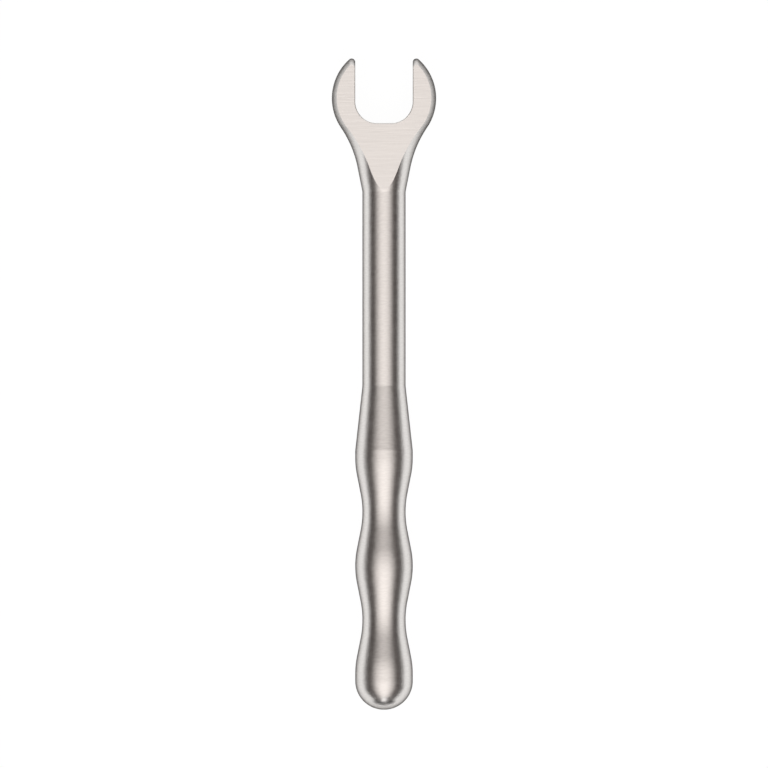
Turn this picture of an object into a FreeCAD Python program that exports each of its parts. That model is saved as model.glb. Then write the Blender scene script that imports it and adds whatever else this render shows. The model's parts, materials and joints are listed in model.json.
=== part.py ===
import FreeCAD, Part
import Sketcher
import math
import os

# Implant wrench: one bar of stainless steel, turned to a waisted grip, a slim shaft
# and a ball head, with two milled flats and an open jaw slot across the ball.
#
# The tool's axis is the body's Y axis. The butt's domed end is at zero, the jaw opens
# towards +Y, and the two flats of the head face +Z and -Z. Lengths are millimetres and
# angles are degrees. The finished body is laid down as it comes to rest on a table: the
# head dips by a degree until it touches, and the origin is under the tool's middle.

# Directions in a sketch, in degrees
RIGHT = 0
UP = 90
LEFT = 180
DOWN = 270
FULL_TURN = 360
BEVEL_ANGLE = 45

# The points of a line or an arc, and the sketch's own origin and level axis, by number
START, END, CENTRE = range(1, 4)
ORIGIN = (-1, START)
LEVEL_AXIS = -1

# How far apart two places may be and still count as one, as a share of the ball's radius
SAME_PLACE = 1e-6
EDGE_SAMPLES = 5

# Name, value, what it measures
DRIVING_SIZES = (
    ("handle_diameter", "8", "over the crests of the grip, and of the butt's dome"),
    ("butt_land", "1", "straight stretch between the butt's dome and the first crest"),
    ("groove_count", "2", "finger grooves along the grip"),
    ("groove_pitch", "15", "from one crest to the next"),
    ("groove_depth", "1", "from crest to trough, square to the axis"),
    ("flank_length", "2.7", "straight flank between a crest's arc and a trough's arc"),
    ("crest_share", "0.48", "a crest's radius out of a crest's and a trough's together"),
    ("cone_land", "1", "straight stretch between the last crest and the cone"),
    ("cone_length", "9", "cone that leads from the grip down to the shaft"),
    ("shaft_diameter", "6", "plain shaft"),
    ("shaft_length", "27", "plain shaft"),
    ("taper_length", "3.4", "straight taper that opens from the shaft towards the head"),
    ("taper_angle", "11.3", "between that taper and the tool's axis"),
    ("blend_radius", "15", "hollow sweep from the taper into the ball"),
    ("ball_diameter", "14.5", "ball head before milling"),
    ("head_thickness", "6.1", "over the two flats, a hair more than the shaft"),
    ("jaw_width", "8", "between the jaw's two drive faces"),
    ("jaw_reach", "3.5", "from the ball's centre back to the bottom of the jaw"),
    ("jaw_corner", "3", "radius in the two bottom corners of the jaw"),
    ("tip_radius", "0.5", "rounding between a drive face and the ball, at the mouth"),
    ("edge_break", "0.1", "bevel along the jaw's edges on both flats"),
    ("cutter_overrun", "2", "how far the milling cuts run on past the ball"),
)

# Name, formula, what it measures
WORKED_OUT_SIZES = (
    ("handle_radius", "=handle_diameter / 2", "grip"),
    ("shaft_radius", "=shaft_diameter / 2", "shaft"),
    ("ball_radius", "=ball_diameter / 2", "ball"),
    ("head_half", "=head_thickness / 2", "axis to a flat"),
    ("jaw_half", "=jaw_width / 2", "axis to a drive face"),
    ("half_pitch", "=groove_pitch / 2", "crest to trough"),
    ("first_crest", "=handle_radius + butt_land", "place of the first crest"),
    ("last_crest", "=first_crest + groove_count * groove_pitch", "place of the last crest"),
    ("cone_start", "=last_crest + cone_land", "place of the cone's wide end"),
    ("shaft_start", "=cone_start + cone_length", "place of the cone's narrow end"),
    ("shaft_end", "=shaft_start + shaft_length", "place where the neck begins"),
    ("flank_angle", "=2 * atan(groove_depth / (half_pitch + flank_length))", "flank to axis"),
    (
        "arcs_together",
        "=(half_pitch - flank_length * cos(flank_angle)) / sin(flank_angle)",
        "a crest's radius and a trough's together, tangent to the flank",
    ),
    ("crest_arc", "=crest_share * arcs_together", "radius along a crest"),
    ("trough_arc", "=arcs_together - crest_arc", "radius along a trough"),
    ("taper_end", "=shaft_end + taper_length", "place where the sweep begins"),
    (
        "taper_end_radius",
        "=shaft_radius + taper_length * tan(taper_angle * 1 deg)",
        "neck where the sweep begins",
    ),
    (
        "blend_off_axis",
        "=taper_end_radius + blend_radius * cos(taper_angle * 1 deg)",
        "axis to the sweep's centre",
    ),
    (
        "blend_place",
        "=taper_end - blend_radius * sin(taper_angle * 1 deg)",
        "place of the sweep's centre",
    ),
    (
        "ball_centre",
        "=blend_place + sqrt((ball_radius + blend_radius)^2 - blend_off_axis^2)",
        "place of the ball's centre, with the sweep tangent to the ball",
    ),
    ("blend_angle", "=atan((ball_centre - blend_place) / blend_off_axis)", "end of the sweep"),
    ("head_end", "=ball_centre + ball_radius", "place of the ball's far end before milling"),
    ("jaw_bottom", "=ball_centre - jaw_reach", "place of the bottom of the jaw"),
    ("corner_radius", "=min(jaw_corner; 0.95 * jaw_half)", "corner, within the jaw's width"),
    (
        "tip_reach",
        "=sqrt((ball_radius - tip_radius)^2 - (jaw_half + tip_radius)^2) + tip_radius",
        "ball's centre to the rounded tips",
    ),
    ("tip_rest", "=ball_centre + sqrt(tip_reach^2 - head_half^2)", "far end of a flat"),
    ("dip", "=atan((handle_radius - head_half) / (tip_rest - cone_start))", "lean at rest"),
    ("lift", "=cone_start * sin(dip) + handle_radius * cos(dip)", "height of the butt's end"),
    (
        "middle",
        "=((handle_radius + ball_centre) * cos(dip) - handle_radius + tip_reach) / 2",
        "butt's end to the tool's middle along the table",
    ),
)


def fill_sheet(document):
    """Puts every size into the document's sheet, under its own name."""
    sheet = document.addObject("Spreadsheet::Sheet", "Sizes")
    for row, (name, value, meaning) in enumerate(DRIVING_SIZES + WORKED_OUT_SIZES, start=1):
        sheet.set(f"A{row}", name)
        sheet.set(f"B{row}", value)
        sheet.set(f"C{row}", meaning)
        sheet.setAlias(f"B{row}", name)
    document.recompute()
    return sheet


def plain(value):
    """A size as a plain number, in millimetres or degrees."""
    return float(getattr(value, "Value", value))


def along(place, radius, angle):
    """The point at an angle on a circle about a place."""
    turn = math.radians(angle)
    return (place[0] + radius * math.cos(turn), place[1] + radius * math.sin(turn))


def origin_feature(body, role):
    """One of the body's own three planes."""
    return next(feature for feature in body.Origin.OriginFeatures if feature.Role == role)


class Outline:
    """A sketch of one closed chain of lines and arcs, each joined to the one before it."""

    def __init__(self, body, plane, name):
        self.sketch = body.newObject("Sketcher::SketchObject", name)
        self.sketch.AttachmentSupport = [(origin_feature(body, plane), "")]
        self.sketch.MapMode = "FlatFace"
        self.pieces = []

    def join(self, index, entry, leave, smooth):
        """Ties a new piece's entry to the last one's end, tangent where smooth."""
        if self.pieces:
            before = self.pieces[-1]
            kind = "Tangent" if smooth else "Coincident"
            self.rule(kind, before[0], before[2], index, entry)
        self.pieces.append((index, entry, leave))
        return index

    def line(self, begin, finish, smooth=False):
        """A straight line from one place to another."""
        ends = (FreeCAD.Vector(*begin, 0), FreeCAD.Vector(*finish, 0))
        index = self.sketch.addGeometry(Part.LineSegment(*ends))
        return self.join(index, START, END, smooth)

    def arc(self, centre, radius, begin, finish, smooth=True):
        """An arc from one angle to another, clockwise where the angle falls."""
        circle = Part.Circle(FreeCAD.Vector(*centre, 0), FreeCAD.Vector(0, 0, 1), radius)
        low, high = sorted((math.radians(begin), math.radians(finish)))
        index = self.sketch.addGeometry(Part.ArcOfCircle(circle, low, high))
        entry, leave = (START, END) if begin < finish else (END, START)
        return self.join(index, entry, leave, smooth)

    def close(self):
        """Joins the last piece's end to the first piece's start."""
        first = self.pieces[0]
        last = self.pieces[-1]
        self.rule("Coincident", last[0], last[2], first[0], first[1])

    def rule(self, kind, *places):
        """A rule with no size, such as Vertical or Coincident."""
        self.sketch.addConstraint(Sketcher.Constraint(kind, *places))

    def size(self, name, kind, places, formula):
        """A size of the sketch, which follows the sheet."""
        value = plain(self.sketch.evalExpression(formula))
        if kind == "Angle":
            value = math.radians(value)
        index = self.sketch.addConstraint(Sketcher.Constraint(kind, *places, value))
        self.sketch.renameConstraint(index, name)
        self.sketch.setExpression(f"Constraints.{name}", formula)


def turned_outline(body, sheet):
    """Half of the turned bar's section, above the axis, from the butt to the ball."""
    outline = Outline(body, "YZ_Plane", "TurnedOutline")
    grip = plain(sheet.handle_radius)
    first_crest = plain(sheet.first_crest)

    dome = outline.arc((grip, 0), grip, LEFT, UP)
    outline.rule("Coincident", dome, END, *ORIGIN)
    outline.rule("PointOnObject", dome, CENTRE, LEVEL_AXIS)
    outline.size("dome_radius", "Radius", (dome,), "Sizes.handle_radius")
    butt_land = outline.line((grip, grip), (first_crest, grip), smooth=True)
    outline.rule("Horizontal", butt_land)

    add_grip_wave(outline, sheet)

    cone_start = (plain(sheet.cone_start), grip)
    land = outline.line((plain(sheet.last_crest), grip), cone_start, smooth=True)
    outline.rule("Horizontal", land)
    outline.size("cone_start", "DistanceX", (*ORIGIN, land, END), "Sizes.cone_start")

    shaft = plain(sheet.shaft_radius)
    shaft_start = (plain(sheet.shaft_start), shaft)
    shaft_end = (plain(sheet.shaft_end), shaft)
    cone = outline.line(cone_start, shaft_start)
    outline.size("shaft_start", "DistanceX", (*ORIGIN, cone, END), "Sizes.shaft_start")
    outline.size("shaft_radius", "DistanceY", (*ORIGIN, cone, END), "Sizes.shaft_radius")
    bare = outline.line(shaft_start, shaft_end)
    outline.rule("Horizontal", bare)
    outline.size("shaft_end", "DistanceX", (*ORIGIN, bare, END), "Sizes.shaft_end")

    add_neck_and_ball(outline, sheet, shaft_end)
    outline.line((plain(sheet.head_end), 0), (0, 0))
    outline.close()
    return outline.sketch


def add_grip_wave(outline, sheet):
    """The finger grooves: crest and trough arcs joined by straight flanks."""
    grip = plain(sheet.handle_radius)
    pitch = plain(sheet.groove_pitch)
    flank = plain(sheet.flank_angle)
    crest_arc = plain(sheet.crest_arc)
    trough_arc = plain(sheet.trough_arc)
    crest = (plain(sheet.first_crest), grip - crest_arc)
    add_wave_arc(outline, "crest", 0, crest, crest_arc, UP, UP - flank)
    for groove in range(int(sheet.groove_count)):
        trough = (crest[0] + pitch / 2, grip - plain(sheet.groove_depth) + trough_arc)
        next_crest = (crest[0] + pitch, crest[1])
        down_end = along(trough, trough_arc, DOWN - flank)
        up_start = along(trough, trough_arc, DOWN + flank)
        outline.line(along(crest, crest_arc, UP - flank), down_end, smooth=True)
        add_wave_arc(outline, "trough", groove, trough, trough_arc, DOWN - flank, DOWN + flank)
        outline.line(up_start, along(next_crest, crest_arc, UP + flank), smooth=True)
        last = groove + 1 == int(sheet.groove_count)
        leave = UP if last else UP - flank
        add_wave_arc(outline, "crest", groove + 1, next_crest, crest_arc, UP + flank, leave)
        crest = next_crest


def add_wave_arc(outline, form, count, centre, radius, begin, finish):
    """One crest or trough of the grip, counted from the butt."""
    arc = outline.arc(centre, radius, begin, finish)
    name = f"{form}_{count}"
    pitches = f"{count}" if form == "crest" else f"({count} + 0.5)"
    place = f"Sizes.first_crest + {pitches} * Sizes.groove_pitch"
    outline.size(f"{name}_arc", "Radius", (arc,), f"Sizes.{form}_arc")
    outline.size(f"{name}_place", "DistanceX", (*ORIGIN, arc, CENTRE), place)
    if form == "trough":
        height = "Sizes.handle_radius - Sizes.groove_depth + Sizes.trough_arc"
        outline.size(f"{name}_height", "DistanceY", (*ORIGIN, arc, CENTRE), height)
    elif count:
        height = "Sizes.crest_arc - Sizes.handle_radius"
        outline.size(f"{name}_height", "DistanceY", (arc, CENTRE, *ORIGIN), height)


def add_neck_and_ball(outline, sheet, shaft_end):
    """The taper that opens from the shaft, and the sweep that carries it into the ball."""
    taper_angle = plain(sheet.taper_angle)
    blend_angle = plain(sheet.blend_angle)
    taper = outline.line(shaft_end, (plain(sheet.taper_end), plain(sheet.taper_end_radius)))
    angle = "Sizes.taper_angle * 1 deg"
    outline.size("taper_end", "DistanceX", (*ORIGIN, taper, END), "Sizes.taper_end")
    outline.size("taper_angle", "Angle", (LEVEL_AXIS, taper), angle)

    sweep_centre = (plain(sheet.blend_place), plain(sheet.blend_off_axis))
    blend_radius = plain(sheet.blend_radius)
    sweep = outline.arc(sweep_centre, blend_radius, DOWN + taper_angle, DOWN + blend_angle)
    outline.size("blend_radius", "Radius", (sweep,), "Sizes.blend_radius")

    ball_radius = plain(sheet.ball_radius)
    ball = outline.arc((plain(sheet.ball_centre), 0), ball_radius, UP + blend_angle, RIGHT)
    outline.size("ball_radius", "Radius", (ball,), "Sizes.ball_radius")
    outline.rule("PointOnObject", ball, CENTRE, LEVEL_AXIS)
    outline.rule("PointOnObject", ball, START, LEVEL_AXIS)


def turn_bar(body, sheet):
    """Turns the bar about its axis."""
    turned = body.newObject("PartDesign::Revolution", "TurnedBar")
    turned.Profile = turned_outline(body, sheet)
    turned.ReferenceAxis = (turned.Profile[0], ["H_Axis"])
    turned.Angle = FULL_TURN


def mirror_below(body, cut, name):
    """Repeats a cut of the upper flat on the lower one."""
    both = body.newObject("PartDesign::Mirrored", name)
    both.Originals = [cut]
    both.MirrorPlane = (origin_feature(body, "XY_Plane"), [""])
    body.Tip = both


def flat_outline(body, sheet):
    """What is milled off above the upper flat: from the neck's start to past the ball."""
    near = plain(sheet.shaft_end)
    far = plain(sheet.head_end) + plain(sheet.cutter_overrun)
    low = plain(sheet.head_half)
    high = plain(sheet.ball_radius) + plain(sheet.cutter_overrun)
    outline = Outline(body, "YZ_Plane", "FlatOutline")
    flat = outline.line((near, low), (far, low))
    far_side = outline.line((far, low), (far, high))
    top = outline.line((far, high), (near, high))
    near_side = outline.line((near, high), (near, low))
    outline.close()
    for level in (flat, top):
        outline.rule("Horizontal", level)
    for upright in (far_side, near_side):
        outline.rule("Vertical", upright)
    past_ball = "Sizes.head_end + Sizes.cutter_overrun"
    above_ball = "Sizes.ball_radius + Sizes.cutter_overrun"
    outline.size("near", "DistanceX", (*ORIGIN, flat, START), "Sizes.shaft_end")
    outline.size("far", "DistanceX", (*ORIGIN, flat, END), past_ball)
    outline.size("flat", "DistanceY", (*ORIGIN, flat, START), "Sizes.head_half")
    outline.size("top", "DistanceY", (*ORIGIN, top, START), above_ball)
    return outline.sketch


def mill_flats(body, sheet):
    """Mills the head's upper flat right across, and the lower one opposite."""
    flat = body.newObject("PartDesign::Pocket", "UpperFlat")
    flat.Profile = flat_outline(body, sheet)
    flat.Type = "ThroughAll"
    flat.SideType = "Symmetric"
    mirror_below(body, flat, "BothFlats")


def jaw_outline(body, sheet, name, grow):
    """The jaw's outline seen on a flat, made larger all round by a size of the sheet."""
    outline = Outline(body, "XY_Plane", name)
    more = plain(outline.sketch.evalExpression(grow))
    half = plain(sheet.jaw_half) + more
    bottom = plain(sheet.jaw_bottom) - more
    corner = plain(sheet.corner_radius) + more
    corner_place = bottom + corner
    mouth = plain(sheet.head_end) + plain(sheet.cutter_overrun)

    left = outline.line((-half, mouth), (-half, corner_place))
    left_corner = outline.arc((corner - half, corner_place), corner, LEFT, DOWN)
    base = outline.line((corner - half, bottom), (half - corner, bottom), smooth=True)
    right_corner = outline.arc((half - corner, corner_place), corner, DOWN, FULL_TURN)
    right = outline.line((half, corner_place), (half, mouth), smooth=True)
    open_end = outline.line((half, mouth), (-half, mouth))
    outline.close()
    for upright in (left, right):
        outline.rule("Vertical", upright)
    for level in (base, open_end):
        outline.rule("Horizontal", level)
    half_width = f"Sizes.jaw_half + {grow}"
    corner_size = f"Sizes.corner_radius + {grow}"
    past_ball = "Sizes.head_end + Sizes.cutter_overrun"
    outline.size("left_face", "DistanceX", (left, START, *ORIGIN), half_width)
    outline.size("right_face", "DistanceX", (*ORIGIN, right, END), half_width)
    outline.size("bottom", "DistanceY", (*ORIGIN, base, START), f"Sizes.jaw_bottom - {grow}")
    outline.size("mouth", "DistanceY", (*ORIGIN, right, END), past_ball)
    outline.size("left_corner", "Radius", (left_corner,), corner_size)
    outline.size("right_corner", "Radius", (right_corner,), corner_size)
    return outline.sketch


def mill_jaw(body, sheet):
    """Mills the open slot through both flats and out of the far end of the ball."""
    jaw = body.newObject("PartDesign::Pocket", "Jaw")
    jaw.Profile = jaw_outline(body, sheet, "JawOutline", "0")
    jaw.Type = "ThroughAll"
    jaw.SideType = "Symmetric"


def round_tips(body, sheet):
    """Rounds the edge between each drive face and what is left of the ball."""
    jaw = body.Tip
    centre = FreeCAD.Vector(0, plain(sheet.ball_centre), 0)
    half = plain(sheet.jaw_half)
    ball = plain(sheet.ball_radius)
    near = SAME_PLACE * ball
    names = []
    for count, edge in enumerate(jaw.Shape.Edges, start=1):
        if edge.Degenerated:
            continue
        points = edge.discretize(EDGE_SAMPLES)
        on_face = all(abs(abs(point.x) - half) < near for point in points)
        on_ball = all(abs((point - centre).Length - ball) < near for point in points)
        if on_face and on_ball:
            names.append(f"Edge{count}")
    tips = body.newObject("PartDesign::Fillet", "RoundedTips")
    tips.Base = (jaw, names)
    tips.setExpression("Radius", "Sizes.tip_radius")


def break_edges(body, sheet):
    """Bevels the jaw's edges on both flats, with a shallow cut that narrows as it sinks."""
    bevel = body.newObject("PartDesign::Pocket", "UpperBevel")
    outline = jaw_outline(body, sheet, "BevelOutline", "Sizes.edge_break")
    outline.setExpression("AttachmentOffset.Base.z", "Sizes.head_half")
    bevel.Profile = outline
    bevel.setExpression("Length", "Sizes.edge_break")
    bevel.TaperAngle = -BEVEL_ANGLE
    mirror_below(body, bevel, "BothBevels")


def lay_down(body):
    """Lays the tool on the table, on the grip's last crest and the head's lower flat."""
    turn = "rotation(vector(1; 0; 0); -Sizes.dip)"
    shift = "vector(0; -Sizes.middle; Sizes.lift)"
    body.setExpression("Placement", f"placement({shift}; {turn})")


def make_wrench(document, sheet):
    """The whole wrench, in the order that it is made on the bench."""
    body = document.addObject("PartDesign::Body", "Wrench")
    body.Label = "wrench"
    for work in (turn_bar, mill_flats, mill_jaw, round_tips, break_edges):
        before = body.Tip
        work(body, sheet)
        document.recompute()
        check_work(body, before, work.__name__)
    lay_down(body)
    document.recompute()
    return body


def check_work(body, before, name):
    """Stops if a piece of work left no solid, or a cut took nothing away."""
    shape = body.Tip.Shape
    if shape.isNull() or not shape.isValid() or len(shape.Solids) != 1:
        raise RuntimeError(f"{name} left no sound solid")
    if before and shape.Volume >= before.Shape.Volume:
        raise RuntimeError(f"{name} took nothing away")


def check_document(document):
    """Stops if any object of the document has failed."""
    for item in document.Objects:
        if "Invalid" in item.State or "Error" in item.State:
            raise RuntimeError(f"{item.Name} failed: {item.State}")


def write_parts(document, bodies):
    """Writes each sound body to its own file, under its label."""
    check_document(document)
    os.makedirs("parts", exist_ok=True)
    for body in bodies:
        shape = body.Shape
        if shape.isNull() or not shape.isValid():
            raise RuntimeError(f"{body.Label} has no sound shape")
        shape.exportStep(f"parts/{body.Label}.step")
        print(body.Label, "volume", round(shape.Volume, 2))


def main():
    document = FreeCAD.newDocument("ImplantWrench")
    sheet = fill_sheet(document)
    wrench = make_wrench(document, sheet)
    write_parts(document, [wrench])


main()
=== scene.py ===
"""Looks of a small open-ended hand wrench, lying on a white floor under a wide softbox.

The wrench is made here as it is made in the shop: a bar of stainless steel is turned, two flats are milled
on its ball, the jaw is milled through them, its tips are rounded, and the whole is brushed.
"""

import json
import math

import bmesh
import bpy
from mathutils import Matrix, Vector


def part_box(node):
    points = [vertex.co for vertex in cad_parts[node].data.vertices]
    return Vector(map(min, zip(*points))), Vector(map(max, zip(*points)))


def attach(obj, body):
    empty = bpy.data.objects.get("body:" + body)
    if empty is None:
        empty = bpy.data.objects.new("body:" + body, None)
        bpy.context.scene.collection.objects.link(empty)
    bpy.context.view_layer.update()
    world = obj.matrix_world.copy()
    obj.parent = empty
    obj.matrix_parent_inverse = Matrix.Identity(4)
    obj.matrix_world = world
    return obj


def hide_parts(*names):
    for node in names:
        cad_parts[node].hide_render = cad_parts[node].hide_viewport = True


MILLIMETRE = 0.001

# The photograph's width and height in pixels, and the rows of it where the wrench's two ends lie
PICTURE_SIZE = 768
TIP_ROW = 58.5
BUTT_ROW = 709.7

# The bar's sizes in millimetres, and its angles in degrees. Places are counted along it, from the butt.
# The crest's share is of the radii of a crest and a trough together
GRIP_RADIUS = 4.0
BUTT_LAND = 1.0
GROOVE_COUNT = 2
GROOVE_PITCH = 15.0
GROOVE_DEPTH = 1.0
FLANK_LENGTH = 2.7
CREST_SHARE = 0.48
CONE_LAND = 1.0
CONE_LENGTH = 9.0
SHAFT_RADIUS = 3.0
SHAFT_LENGTH = 27.0
TAPER_LENGTH = 3.4
TAPER_ANGLE = 11.3
SWEEP_RADIUS = 15.0
BALL_RADIUS = 7.25

# Half the head's thickness over its flats, then the jaw, its rounded tips and the bevel along its edges
HEAD_HALF = 3.05
JAW_HALF = 4.0
JAW_REACH = 3.5
JAW_CORNER = 3.0
TIP_RADIUS = 0.5
EDGE_BREAK = 0.1

# What lies less than this under a flat's level still counts as the flat
FLAT_MARGIN = EDGE_BREAK / 4

FIRST_CREST = GRIP_RADIUS + BUTT_LAND
LAST_CREST = FIRST_CREST + GROOVE_COUNT * GROOVE_PITCH
CONE_START = LAST_CREST + CONE_LAND
SHAFT_START = CONE_START + CONE_LENGTH
SHAFT_END = SHAFT_START + SHAFT_LENGTH

# The hollow sweep leaves the end of the taper along it, and meets the ball tangent
TAPER_END = SHAFT_END + TAPER_LENGTH
TAPER_END_RADIUS = SHAFT_RADIUS + TAPER_LENGTH * math.tan(math.radians(TAPER_ANGLE))
SWEEP_PLACE = TAPER_END - SWEEP_RADIUS * math.sin(math.radians(TAPER_ANGLE))
SWEEP_OFF_AXIS = TAPER_END_RADIUS + SWEEP_RADIUS * math.cos(math.radians(TAPER_ANGLE))
BALL_PLACE = SWEEP_PLACE + math.sqrt((BALL_RADIUS + SWEEP_RADIUS) ** 2 - SWEEP_OFF_AXIS**2)
JAW_BOTTOM = BALL_PLACE - JAW_REACH

# Directions in an outline, in degrees
RIGHT = 0
UP = 90
LEFT = 180
DOWN = 270
FULL_TURN = 360

# How far a tip's cutter swings to each side of level, in degrees
TIP_SWING = 45

# The faces round the bar, the longest facet along it in millimetres, the widest turn of an arc from one
# facet to the next in degrees, and the turn in degrees over which two faces meet in a sharp edge
AROUND = 160
LONGEST_FACET = 0.35
WIDEST_TURN = 2.5
SHARP_TURN = 5.5

# How far a milling cutter runs on past the steel, and the shortest edge a cut leaves, in millimetres
OVERRUN = 2.0
SHORTEST_EDGE = 0.002

# The studio's sizes are in metres, from here on
CAMERA_HEIGHT = 0.4
FLOOR_SIZE = 6.0

# A direction that climbs by more than this share of its length points at the room, above the horizon.
# Below it all is white, and the floor's own paint is a little less than white
HORIZON = 0.001
ROOM_GREY = "#474240"
FULL_WHITE = "#FFFFFF"
FLOOR_WHITE = "#F2F2F2"

# Share of the floor's white that is its own glow, and how strong that is, so that lamps and glow make 1
GLOW_SHARE = 0.9
GLOW_STRENGTH = 1.07

# Painted shade: close beside the wrench, ambient occlusion within this reach darkens the floor's glow, so
# the steel mirrors the floor darker there
PAINTED_SHADE_REACH = 8.0 * MILLIMETRE
PAINTED_SHADE_SAMPLES = 8

# The softbox hangs level over the wrench. Its light is even over a narrow core, fades out to both sides,
# and fades out slowly past the jaw, so that what leans that way is darker
SOFTBOX_HEIGHT = 1.0
SOFTBOX_CORE = 0.07
SOFTBOX_HALF_WIDTH = 1.36
SOFTBOX_FADE_START = -0.12
SOFTBOX_JAW_REACH = 0.98
SOFTBOX_BUTT_REACH = 2.6
SOFTBOX_RADIANCE = 1.15
SOFTBOX_COLOUR = "#FFFAF7"

# A low strip light stands on each side, which ends the dark line along the flanks
STRIP_DISTANCE = 0.5
STRIP_HEIGHT = 0.13
STRIP_LENGTH = 0.39
STRIP_RADIANCE = 0.34

# A weak panel stands past the jaw, for what would otherwise mirror only the dark room
JAW_PANEL_DISTANCE = 1.3
JAW_PANEL_MIDDLE = 0.52
JAW_PANEL_SIZE = (2.6, 0.8)
JAW_PANEL_RADIANCE = 0.5

# Past the butt, outside the picture, black velvet lies on the floor up to a narrow panel. The butt's
# round end mirrors them, as a dark line under a bright spot
VELVET_GAP = 15.0 * MILLIMETRE
VELVET_THICKNESS = 0.2 * MILLIMETRE
VELVET_NEAR_HALF = 10.0 * MILLIMETRE
VELVET_FAR_HALF = 0.6
VELVET_BLACK = "#0A0A0A"
BUTT_PANEL_DISTANCE = 1.2
BUTT_PANEL_MIDDLE = 0.185
BUTT_PANEL_SIZE = (0.32, 0.37)
BUTT_PANEL_RADIANCE = 1.55

# Brush strokes run around the bar, and longer ones straight across the flats. A real stroke is a few
# hundredths of a millimetre wide, which a picture of the whole wrench can't hold, so the strokes here
# are one or two of its pixels wide
STROKE_WIDTH = 0.2 * MILLIMETRE
TURNED_STROKE = 0.7 * MILLIMETRE
FLAT_STROKE = 4.0 * MILLIMETRE
STROKE_DEPTH = 0.005 * MILLIMETRE
STROKE_DETAIL = 0.5
STROKE_BEND = 0.5

# The strokes take the middle of the noise, this far to each side. The less, the more they stand out
NOISE_MIDDLE = 0.5
TURNED_SPREAD = 0.13
FLAT_SPREAD = 0.22

# The steel's colour and roughness at the bottom and at the top of a stroke, and its tint at the rim
STROKE_BOTTOM_COLOUR = "#E7E4E1"
STROKE_TOP_COLOUR = "#EEEBE8"
STROKE_BOTTOM_ROUGHNESS = 0.276
STROKE_TOP_ROUGHNESS = 0.314
RIM_TINT = "#202020"

# Strokes that run round the bar spread the light along it, a quarter turn from their own direction
ANISOTROPY = 0.12
ANISOTROPY_TURN = 0.25

# The sRGB curve: a straight toe, and a power above it
SRGB_TOE = 0.04045
SRGB_TOE_SLOPE = 12.92
SRGB_OFFSET = 0.055
SRGB_POWER = 2.4
SRGB_FULL = 255


def arc(centre, radius, begin, end):
    """Points of an outline along an arc, between two directions."""
    turn = math.radians(end - begin)
    steps = math.ceil(max(abs(end - begin) / WIDEST_TURN, abs(turn) * radius / LONGEST_FACET))
    points = []
    for step in range(steps + 1):
        angle = math.radians(begin) + turn * step / steps
        points.append((centre[0] + radius * math.cos(angle), centre[1] + radius * math.sin(angle)))
    return points


def straight(begin, end):
    """Points of an outline along a straight line."""
    steps = math.ceil(math.dist(begin, end) / LONGEST_FACET)
    points = []
    for step in range(steps + 1):
        share = step / steps
        points.append(tuple(start + share * (stop - start) for start, stop in zip(begin, end)))
    return points


def join(stretches):
    """One run of points, from stretches that each begin where the one before ends."""
    points = list(stretches[0])
    for stretch in stretches[1:]:
        points.extend(stretch[1:])
    return points


def grip_wave():
    """The finger grooves: crest and trough arcs, joined by straight flanks."""
    half_pitch = GROOVE_PITCH / 2
    flank = 2 * math.atan(GROOVE_DEPTH / (half_pitch + FLANK_LENGTH))
    arcs_together = (half_pitch - FLANK_LENGTH * math.cos(flank)) / math.sin(flank)
    crest_arc = CREST_SHARE * arcs_together
    trough_arc = arcs_together - crest_arc
    lean = math.degrees(flank)
    stretches = []
    for groove in range(GROOVE_COUNT):
        crest = (FIRST_CREST + groove * GROOVE_PITCH, GRIP_RADIUS - crest_arc)
        trough = (crest[0] + half_pitch, GRIP_RADIUS - GROOVE_DEPTH + trough_arc)
        next_crest = (crest[0] + GROOVE_PITCH, crest[1])
        fall = arc(crest, crest_arc, UP, UP - lean)
        hollow = arc(trough, trough_arc, DOWN - lean, DOWN + lean)
        rise = arc(next_crest, crest_arc, UP + lean, UP)
        stretches += [fall, straight(fall[-1], hollow[0]), hollow, straight(hollow[-1], rise[0]), rise]
    return join(stretches)


def turned_outline():
    """Half of the turned bar's section, as places along the axis and radii, from the butt to the ball."""
    blend = math.degrees(math.atan((BALL_PLACE - SWEEP_PLACE) / SWEEP_OFF_AXIS))
    cone_start = (CONE_START, GRIP_RADIUS)
    shaft_start = (SHAFT_START, SHAFT_RADIUS)
    shaft_end = (SHAFT_END, SHAFT_RADIUS)
    taper_end = (TAPER_END, TAPER_END_RADIUS)
    sweep_centre = (SWEEP_PLACE, SWEEP_OFF_AXIS)
    return join(
        [
            arc((GRIP_RADIUS, 0), GRIP_RADIUS, LEFT, UP),
            straight((GRIP_RADIUS, GRIP_RADIUS), (FIRST_CREST, GRIP_RADIUS)),
            grip_wave(),
            straight((LAST_CREST, GRIP_RADIUS), cone_start),
            straight(cone_start, shaft_start),
            straight(shaft_start, shaft_end),
            straight(shaft_end, taper_end),
            arc(sweep_centre, SWEEP_RADIUS, DOWN + TAPER_ANGLE, DOWN + blend),
            arc((BALL_PLACE, 0), BALL_RADIUS, UP + blend, RIGHT),
        ]
    )


def turn_bar():
    """The bar as it comes off the lathe, lying along Y."""
    form = bmesh.new()
    outline = turned_outline()
    rings = []
    for place, radius in outline[1:-1]:
        ring = []
        for count in range(AROUND):
            angle = math.tau * count / AROUND
            ring.append(form.verts.new((radius * math.sin(angle), place, radius * math.cos(angle))))
        rings.append(ring)
    for near, far in zip(rings, rings[1:]):
        for count in range(AROUND):
            form.faces.new((near[count - 1], near[count], far[count], far[count - 1]))
    for ring, (place, _) in ((rings[0], outline[0]), (rings[-1], outline[-1])):
        pole = form.verts.new((0, place, 0))
        for count in range(AROUND):
            form.faces.new((ring[count - 1], ring[count], pole))
    bmesh.ops.recalc_face_normals(form, faces=form.faces)
    return form


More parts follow.
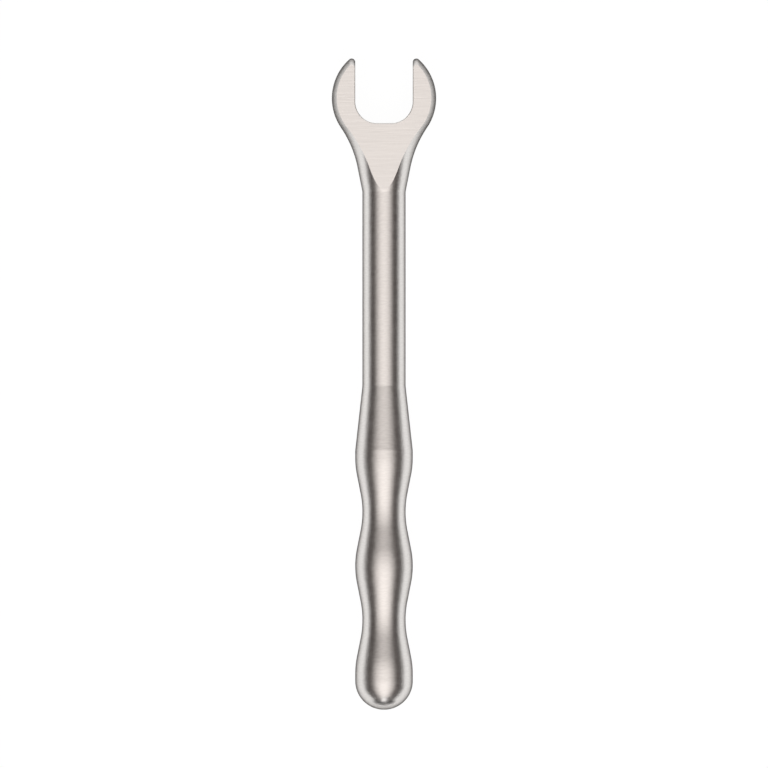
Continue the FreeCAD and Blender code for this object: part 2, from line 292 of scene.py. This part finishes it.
def mill_flats(form):
    """Mills the ball's two flats, which run out on the neck, where the bar gets thinner than the head."""
    for side in (-1, 1):
        head = [vert for vert in form.verts if vert.co.y > SHAFT_START]
        edges = {edge for vert in head for edge in vert.link_edges}
        faces = {face for vert in head for face in vert.link_faces}
        cut = bmesh.ops.bisect_plane(
            form,
            geom=[*head, *edges, *faces],
            plane_co=(0, 0, side * HEAD_HALF),
            plane_no=(0, 0, side),
            clear_outer=True,
        )
        rim = [item for item in cut["geom_cut"] if isinstance(item, bmesh.types.BMEdge)]
        bmesh.ops.contextual_create(form, geom=rim)


def loft(loops):
    """A solid cutter from loops of equally many points, each loop joined to the next."""
    form = bmesh.new()
    rings = [[form.verts.new(point) for point in loop] for loop in loops]
    for near, far in zip(rings, rings[1:]):
        for count in range(len(near)):
            form.faces.new((near[count - 1], near[count], far[count], far[count - 1]))
    form.faces.new(rings[0])
    form.faces.new(rings[-1])
    bmesh.ops.recalc_face_normals(form, faces=form.faces)
    return form


def jaw_outline(level, grow):
    """The jaw's outline on one level of the head, made larger all round."""
    half = JAW_HALF + grow
    corner = JAW_CORNER + grow
    corner_place = JAW_BOTTOM + JAW_CORNER
    mouth = BALL_PLACE + BALL_RADIUS + OVERRUN
    left = arc((JAW_CORNER - JAW_HALF, corner_place), corner, LEFT, DOWN)
    right = arc((JAW_HALF - JAW_CORNER, corner_place), corner, DOWN, FULL_TURN)
    return [(x, y, level) for x, y in ((-half, mouth), *left, *right, (half, mouth))]


def jaw_cutter():
    """What the jaw takes out. It widens towards each flat, which bevels the jaw's edges there."""
    sink = HEAD_HALF - EDGE_BREAK
    outer = HEAD_HALF + OVERRUN
    flare = EDGE_BREAK + OVERRUN
    levels = ((-outer, flare), (-sink, 0), (sink, 0), (outer, flare))
    return loft([jaw_outline(level, grow) for level, grow in levels])


def tip_cutter(side):
    """What rounds one horn's tip: it follows the corner between the drive face and the ball."""
    face = JAW_HALF + TIP_RADIUS
    reach = math.sqrt((BALL_RADIUS - TIP_RADIUS) ** 2 - face**2)
    round_tip = arc((face, reach), TIP_RADIUS, LEFT, math.degrees(math.atan2(reach, face)))
    clear = 1 + TIP_RADIUS / BALL_RADIUS
    past_ball = (round_tip[-1][0] * clear, round_tip[-1][1] * clear)
    beside_face = JAW_HALF - TIP_RADIUS
    section = [*round_tip, past_ball, (beside_face, BALL_RADIUS), (beside_face, reach)]
    loops = []
    for along, up in arc((0, 0), 1, -TIP_SWING, TIP_SWING):
        loops.append([(side * x, BALL_PLACE + out * along, out * up) for x, out in section])
    return loft(loops)


def put_in_scene(name, form):
    """An object of this form."""
    mesh = bpy.data.meshes.new(name)
    form.to_mesh(mesh)
    form.free()
    piece = bpy.data.objects.new(name, mesh)
    bpy.context.scene.collection.objects.link(piece)
    return piece


def cut_out(piece, cutters):
    """Takes the cutters' forms out of a piece, joins points left too close, and puts the cutters away."""
    for cutter in cutters:
        cut = piece.modifiers.new(cutter.name, "BOOLEAN")
        cut.solver = "EXACT"
        cut.operation = "DIFFERENCE"
        cut.object = cutter
    view = bpy.context.evaluated_depsgraph_get()
    mesh = bpy.data.meshes.new_from_object(piece.evaluated_get(view))
    piece.modifiers.clear()
    piece.data = mesh
    form = bmesh.new()
    form.from_mesh(mesh)
    bmesh.ops.dissolve_degenerate(form, edges=form.edges, dist=SHORTEST_EDGE)
    form.to_mesh(mesh)
    form.free()
    for cutter in cutters:
        bpy.data.objects.remove(cutter)


def make_wrench(seat):
    """The whole wrench, laid where the seat of its jaw is, which is on the bar's axis."""
    bar = turn_bar()
    mill_flats(bar)
    wrench = put_in_scene("brushed_wrench", bar)
    cutters = [put_in_scene("jaw_cutter", jaw_cutter())]
    for side in (-1, 1):
        cutters.append(put_in_scene(f"tip_cutter_{side}", tip_cutter(side)))
    cut_out(wrench, cutters)
    lay = Matrix.Translation(seat["pos_m"]) @ Matrix.Rotation(dip_of(seat), 4, "X")
    wrench.data.transform(lay @ Matrix.Scale(MILLIMETRE, 4) @ Matrix.Translation((0, -JAW_BOTTOM, 0)))
    wrench.data.shade_smooth()
    wrench.data.set_sharp_from_angle(angle=math.radians(SHARP_TURN))
    wrench.data.materials.clear()
    wrench.data.materials.append(brushed_stainless(seat))
    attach(wrench, "root")
    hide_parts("wrench")


def dip_of(seat):
    """How far the bar leans, head down, as a turn about X."""
    axis = Vector(seat["axis"])
    return math.atan2(axis.z, axis.y)


def linear(hex_colour):
    """An sRGB colour, written as #RRGGBB, as linear red, green, blue and alpha."""
    channels = []
    for start in (1, 3, 5):
        value = int(hex_colour[start : start + 2], 16) / SRGB_FULL
        if value <= SRGB_TOE:
            channels.append(value / SRGB_TOE_SLOPE)
        else:
            channels.append(((value + SRGB_OFFSET) / (1 + SRGB_OFFSET)) ** SRGB_POWER)
    return (*channels, 1.0)


def add_node(tree, kind, settings=None, values=None, links=None):
    """Adds a node, gives it its settings and its sockets' values, and links outputs into its sockets."""
    node = tree.nodes.new(kind)
    for name, value in (settings or {}).items():
        setattr(node, name, value)
    for socket, value in (values or {}).items():
        node.inputs[socket].default_value = value
    for socket, output in (links or {}).items():
        tree.links.new(output, node.inputs[socket])
    return node


def new_material(name):
    """A material with an empty node tree, and that tree."""
    material = bpy.data.materials.new(name)
    material.use_nodes = True
    material.node_tree.nodes.clear()
    return material, material.node_tree


def strokes_of(tree, on_bar, length, spread):
    """Strokes of this length across the bar, from 0 to 1. A smaller spread makes them stand out more."""
    drawn_out = add_node(
        tree,
        "ShaderNodeMapping",
        settings={"vector_type": "TEXTURE"},
        values={"Scale": (length, STROKE_WIDTH, length)},
        links={"Vector": on_bar.outputs["Vector"]},
    )
    grain = add_node(
        tree,
        "ShaderNodeTexNoise",
        values={"Scale": 1.0, "Detail": STROKE_DETAIL, "Distortion": STROKE_BEND},
        links={"Vector": drawn_out.outputs["Vector"]},
    )
    return add_node(
        tree,
        "ShaderNodeMapRange",
        values={"From Min": NOISE_MIDDLE - spread, "From Max": NOISE_MIDDLE + spread},
        links={"Value": grain.outputs["Fac"]},
    )


def flats_mask(tree, on_bar):
    """1 on the head's two flats, and 0 on all that is turned."""
    axes = add_node(tree, "ShaderNodeSeparateXYZ", links={"Vector": on_bar.outputs["Vector"]})
    off_middle = add_node(
        tree, "ShaderNodeMath", settings={"operation": "ABSOLUTE"}, links={0: axes.outputs["Z"]}
    )
    on_level = add_node(
        tree,
        "ShaderNodeMath",
        settings={"operation": "GREATER_THAN"},
        values={1: (HEAD_HALF - FLAT_MARGIN) * MILLIMETRE},
        links={0: off_middle.outputs["Value"]},
    )
    on_head = add_node(
        tree,
        "ShaderNodeMath",
        settings={"operation": "GREATER_THAN"},
        values={1: (SHAFT_END - JAW_BOTTOM) * MILLIMETRE},
        links={0: axes.outputs["Y"]},
    )
    return add_node(
        tree,
        "ShaderNodeMath",
        settings={"operation": "MULTIPLY"},
        links={0: on_level.outputs["Value"], 1: on_head.outputs["Value"]},
    )


def brushed_stainless(seat):
    """Stainless steel, turned or milled, and then brushed with fine abrasive.

    It gives the eye a bright satin with soft edges to its reflections, fine strokes across the wrench,
    and a thin dark line where the surface turns away.
    """
    material, tree = new_material("brushed_stainless")
    place = add_node(tree, "ShaderNodeTexCoord")
    on_bar = add_node(
        tree,
        "ShaderNodeMapping",
        settings={"vector_type": "TEXTURE"},
        values={"Location": seat["pos_m"], "Rotation": (dip_of(seat), 0, 0)},
        links={"Vector": place.outputs["Object"]},
    )
    strokes = add_node(
        tree,
        "ShaderNodeMix",
        links={
            "Factor": flats_mask(tree, on_bar).outputs["Value"],
            "A": strokes_of(tree, on_bar, TURNED_STROKE, TURNED_SPREAD).outputs["Result"],
            "B": strokes_of(tree, on_bar, FLAT_STROKE, FLAT_SPREAD).outputs["Result"],
        },
    )
    polish = add_node(
        tree,
        "ShaderNodeMapRange",
        values={"To Min": STROKE_BOTTOM_ROUGHNESS, "To Max": STROKE_TOP_ROUGHNESS},
        links={"Value": strokes.outputs["Result"]},
    )
    shade = add_node(
        tree,
        "ShaderNodeMix",
        settings={"data_type": "RGBA"},
        values={"A": linear(STROKE_BOTTOM_COLOUR), "B": linear(STROKE_TOP_COLOUR)},
        links={"Factor": strokes.outputs["Result"]},
    )
    relief = add_node(
        tree,
        "ShaderNodeBump",
        values={"Strength": 1.0, "Distance": STROKE_DEPTH},
        links={"Height": strokes.outputs["Result"]},
    )
    around = add_node(
        tree, "ShaderNodeTangent", settings={"direction_type": "RADIAL", "axis": "Y"}
    )
    steel = add_node(
        tree,
        "ShaderNodeBsdfPrincipled",
        values={
            "Metallic": 1.0,
            "Anisotropic": ANISOTROPY,
            "Anisotropic Rotation": ANISOTROPY_TURN,
            "Specular Tint": linear(RIM_TINT),
        },
        links={
            "Base Color": shade.outputs["Result"],
            "Roughness": polish.outputs["Result"],
            "Normal": relief.outputs["Normal"],
            "Tangent": around.outputs["Tangent"],
        },
    )
    add_node(tree, "ShaderNodeOutputMaterial", links={"Surface": steel.outputs["BSDF"]})
    return material


def white_sheet():
    """White acrylic sheet, lit from within.

    It gives the eye an even white. The steel mirrors it as white too, and darker close beside the wrench,
    where shade is painted into its glow.
    """
    material, tree = new_material("white_acrylic_sheet")
    ray = add_node(tree, "ShaderNodeLightPath")
    seen = add_node(
        tree,
        "ShaderNodeMath",
        settings={"operation": "MAXIMUM"},
        links={0: ray.outputs["Is Camera Ray"], 1: ray.outputs["Is Glossy Ray"]},
    )
    also_through = add_node(
        tree,
        "ShaderNodeMath",
        settings={"operation": "MAXIMUM"},
        links={0: seen.outputs["Value"], 1: ray.outputs["Is Transmission Ray"]},
    )
    share = add_node(
        tree,
        "ShaderNodeMath",
        settings={"operation": "MULTIPLY"},
        values={1: GLOW_SHARE},
        links={0: also_through.outputs["Value"]},
    )
    # Painted shade: ambient occlusion darkens the floor's glow close beside the wrench for every ray but
    # the camera's, so only the steel mirrors it
    painted_shade_ao = add_node(
        tree,
        "ShaderNodeAmbientOcclusion",
        settings={"samples": PAINTED_SHADE_SAMPLES},
        values={"Distance": PAINTED_SHADE_REACH},
    )
    painted_shade_in_mirror = add_node(
        tree,
        "ShaderNodeMath",
        settings={"operation": "MAXIMUM"},
        links={0: painted_shade_ao.outputs["AO"], 1: ray.outputs["Is Camera Ray"]},
    )
    strength = add_node(
        tree,
        "ShaderNodeMath",
        settings={"operation": "MULTIPLY"},
        values={1: GLOW_STRENGTH},
        links={0: painted_shade_in_mirror.outputs["Value"]},
    )
    sheet = add_node(tree, "ShaderNodeBsdfDiffuse", values={"Color": linear(FLOOR_WHITE)})
    glow = add_node(tree, "ShaderNodeEmission", links={"Strength": strength.outputs["Value"]})
    both = add_node(
        tree,
        "ShaderNodeMixShader",
        links={"Fac": share.outputs["Value"], 1: sheet.outputs["BSDF"], 2: glow.outputs["Emission"]},
    )
    add_node(tree, "ShaderNodeOutputMaterial", links={"Surface": both.outputs["Shader"]})
    return material


def black_velvet():
    """Black velvet, whose deep pile gives the eye almost no light back."""
    material, tree = new_material("black_velvet")
    pile = add_node(tree, "ShaderNodeBsdfDiffuse", values={"Color": linear(VELVET_BLACK)})
    add_node(tree, "ShaderNodeOutputMaterial", links={"Surface": pile.outputs["BSDF"]})
    return material


def lay_flat(name, near, far, level, material):
    """Lays a flat sheet, given the place along Y and the half width of its two ends."""
    near_place, near_half = near
    far_place, far_half = far
    mesh = bpy.data.meshes.new(name)
    corners = [
        (-near_half, near_place, level),
        (near_half, near_place, level),
        (far_half, far_place, level),
        (-far_half, far_place, level),
    ]
    mesh.from_pydata(corners, [], [(0, 1, 2, 3)])
    mesh.materials.append(material)
    sheet = bpy.data.objects.new(name, mesh)
    bpy.context.scene.collection.objects.link(sheet)
    return sheet


def lay_floor():
    """The plain white floor that the wrench lies on."""
    half = FLOOR_SIZE / 2
    lay_flat("floor", (-half, half), (half, half), 0, white_sheet())


def lay_velvet(butt_end):
    """The velvet past the butt, which shows only in the steel."""
    near = (butt_end - VELVET_GAP, VELVET_NEAR_HALF)
    far = (-BUTT_PANEL_DISTANCE, VELVET_FAR_HALF)
    velvet = lay_flat("velvet", near, far, VELVET_THICKNESS, black_velvet())
    velvet.visible_camera = False
    velvet.visible_diffuse = False
    velvet.visible_shadow = False


def hang_lamp(name, size, radiance, place, turn=(0, 0, 0)):
    """A rectangular lamp of this radiance, which the camera doesn't see."""
    width, length = size
    data = bpy.data.lights.new(name, "AREA")
    data.shape = "RECTANGLE"
    data.size = width
    data.size_y = length
    data.energy = radiance * math.pi * width * length
    lamp = bpy.data.objects.new(name, data)
    lamp.location = place
    lamp.rotation_euler = turn
    lamp.visible_camera = False
    bpy.context.scene.collection.objects.link(lamp)
    return data


def hang_softbox():
    """The wide lamp overhead, warm white, graduated by what its front lets through at each place."""
    reach = SOFTBOX_BUTT_REACH + SOFTBOX_JAW_REACH
    middle = (SOFTBOX_JAW_REACH - SOFTBOX_BUTT_REACH) / 2
    size = (2 * SOFTBOX_HALF_WIDTH, reach)
    lamp = hang_lamp("softbox", size, SOFTBOX_RADIANCE, (0, middle, SOFTBOX_HEIGHT))
    lamp.use_nodes = True
    tree = lamp.node_tree
    tree.nodes.clear()
    place = add_node(tree, "ShaderNodeNewGeometry")
    axes = add_node(tree, "ShaderNodeSeparateXYZ", links={"Vector": place.outputs["Position"]})
    sideways = add_node(
        tree, "ShaderNodeMath", settings={"operation": "ABSOLUTE"}, links={0: axes.outputs["X"]}
    )
    across = add_node(
        tree,
        "ShaderNodeMapRange",
        settings={"interpolation_type": "SMOOTHSTEP"},
        values={
            "From Min": SOFTBOX_CORE,
            "From Max": SOFTBOX_HALF_WIDTH,
            "To Min": 1.0,
            "To Max": 0.0,
        },
        links={"Value": sideways.outputs["Value"]},
    )
    along = add_node(
        tree,
        "ShaderNodeMapRange",
        values={
            "From Min": SOFTBOX_FADE_START,
            "From Max": SOFTBOX_JAW_REACH,
            "To Min": 1.0,
            "To Max": 0.0,
        },
        links={"Value": axes.outputs["Y"]},
    )
    passed = add_node(
        tree,
        "ShaderNodeMath",
        settings={"operation": "MULTIPLY"},
        links={0: across.outputs["Result"], 1: along.outputs["Result"]},
    )
    glow = add_node(
        tree,
        "ShaderNodeEmission",
        values={"Color": linear(SOFTBOX_COLOUR)},
        links={"Strength": passed.outputs["Value"]},
    )
    add_node(tree, "ShaderNodeOutputLight", links={"Surface": glow.outputs["Emission"]})


def stand_lamps():
    """The low strip lights beside the wrench, and the panels past its two ends."""
    quarter = math.pi / 2
    for side, name in ((-1, "left_strip"), (1, "right_strip")):
        place = (side * STRIP_DISTANCE, 0, STRIP_HEIGHT / 2)
        hang_lamp(name, (STRIP_HEIGHT, STRIP_LENGTH), STRIP_RADIANCE, place, (0, side * quarter, 0))
    place = (0, JAW_PANEL_DISTANCE, JAW_PANEL_MIDDLE)
    hang_lamp("jaw_panel", JAW_PANEL_SIZE, JAW_PANEL_RADIANCE, place, (-quarter, 0, 0))
    place = (0, -BUTT_PANEL_DISTANCE, BUTT_PANEL_MIDDLE)
    hang_lamp("butt_panel", BUTT_PANEL_SIZE, BUTT_PANEL_RADIANCE, place, (quarter, 0, 0))


def dim_room():
    """A dark warm-grey room. Below its horizon the floor's white goes on, as a low view sees."""
    world = bpy.data.worlds.new("studio")
    bpy.context.scene.world = world
    world.use_nodes = True
    tree = world.node_tree
    tree.nodes.clear()
    place = add_node(tree, "ShaderNodeTexCoord")
    axes = add_node(tree, "ShaderNodeSeparateXYZ", links={"Vector": place.outputs["Generated"]})
    above = add_node(
        tree,
        "ShaderNodeMath",
        settings={"operation": "GREATER_THAN"},
        values={1: HORIZON},
        links={0: axes.outputs["Z"]},
    )
    ground = add_node(tree, "ShaderNodeBackground", values={"Color": linear(FULL_WHITE)})
    room = add_node(tree, "ShaderNodeBackground", values={"Color": linear(ROOM_GREY)})
    both = add_node(
        tree,
        "ShaderNodeMixShader",
        links={
            "Fac": above.outputs["Value"],
            1: ground.outputs["Background"],
            2: room.outputs["Background"],
        },
    )
    add_node(tree, "ShaderNodeOutputWorld", links={"Surface": both.outputs["Shader"]})


def aim_camera(wrench_box):
    """A camera straight above, which sees the wrench's ends in the photograph's pixel rows."""
    low, high = wrench_box
    pixel = (high.y - low.y) / (BUTT_ROW - TIP_ROW)
    rows_above_middle = (BUTT_ROW + TIP_ROW) / 2 - PICTURE_SIZE / 2
    data = bpy.data.cameras.new("camera")
    data.type = "ORTHO"
    data.ortho_scale = PICTURE_SIZE * pixel
    camera = bpy.data.objects.new("camera", data)
    camera.location = (0, (low.y + high.y) / 2 + rows_above_middle * pixel, CAMERA_HEIGHT)
    bpy.context.scene.collection.objects.link(camera)
    bpy.context.scene.camera = camera


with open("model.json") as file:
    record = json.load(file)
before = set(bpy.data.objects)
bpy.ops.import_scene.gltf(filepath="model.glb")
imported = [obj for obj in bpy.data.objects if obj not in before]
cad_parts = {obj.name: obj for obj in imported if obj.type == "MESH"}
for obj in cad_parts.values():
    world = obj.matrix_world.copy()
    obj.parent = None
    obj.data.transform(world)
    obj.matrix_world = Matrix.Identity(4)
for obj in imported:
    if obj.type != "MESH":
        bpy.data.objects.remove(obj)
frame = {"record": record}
bpy.context.view_layer.update()

make_wrench(next(mount for mount in frame["record"]["mounts"] if mount["name"] == "jaw_seat"))
lay_floor()
lay_velvet(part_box("wrench")[0].y)
hang_softbox()
stand_lamps()
dim_room()
aim_camera(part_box("wrench"))
bpy.context.scene.view_settings.view_transform = "Standard"

bpy.context.view_layer.update()
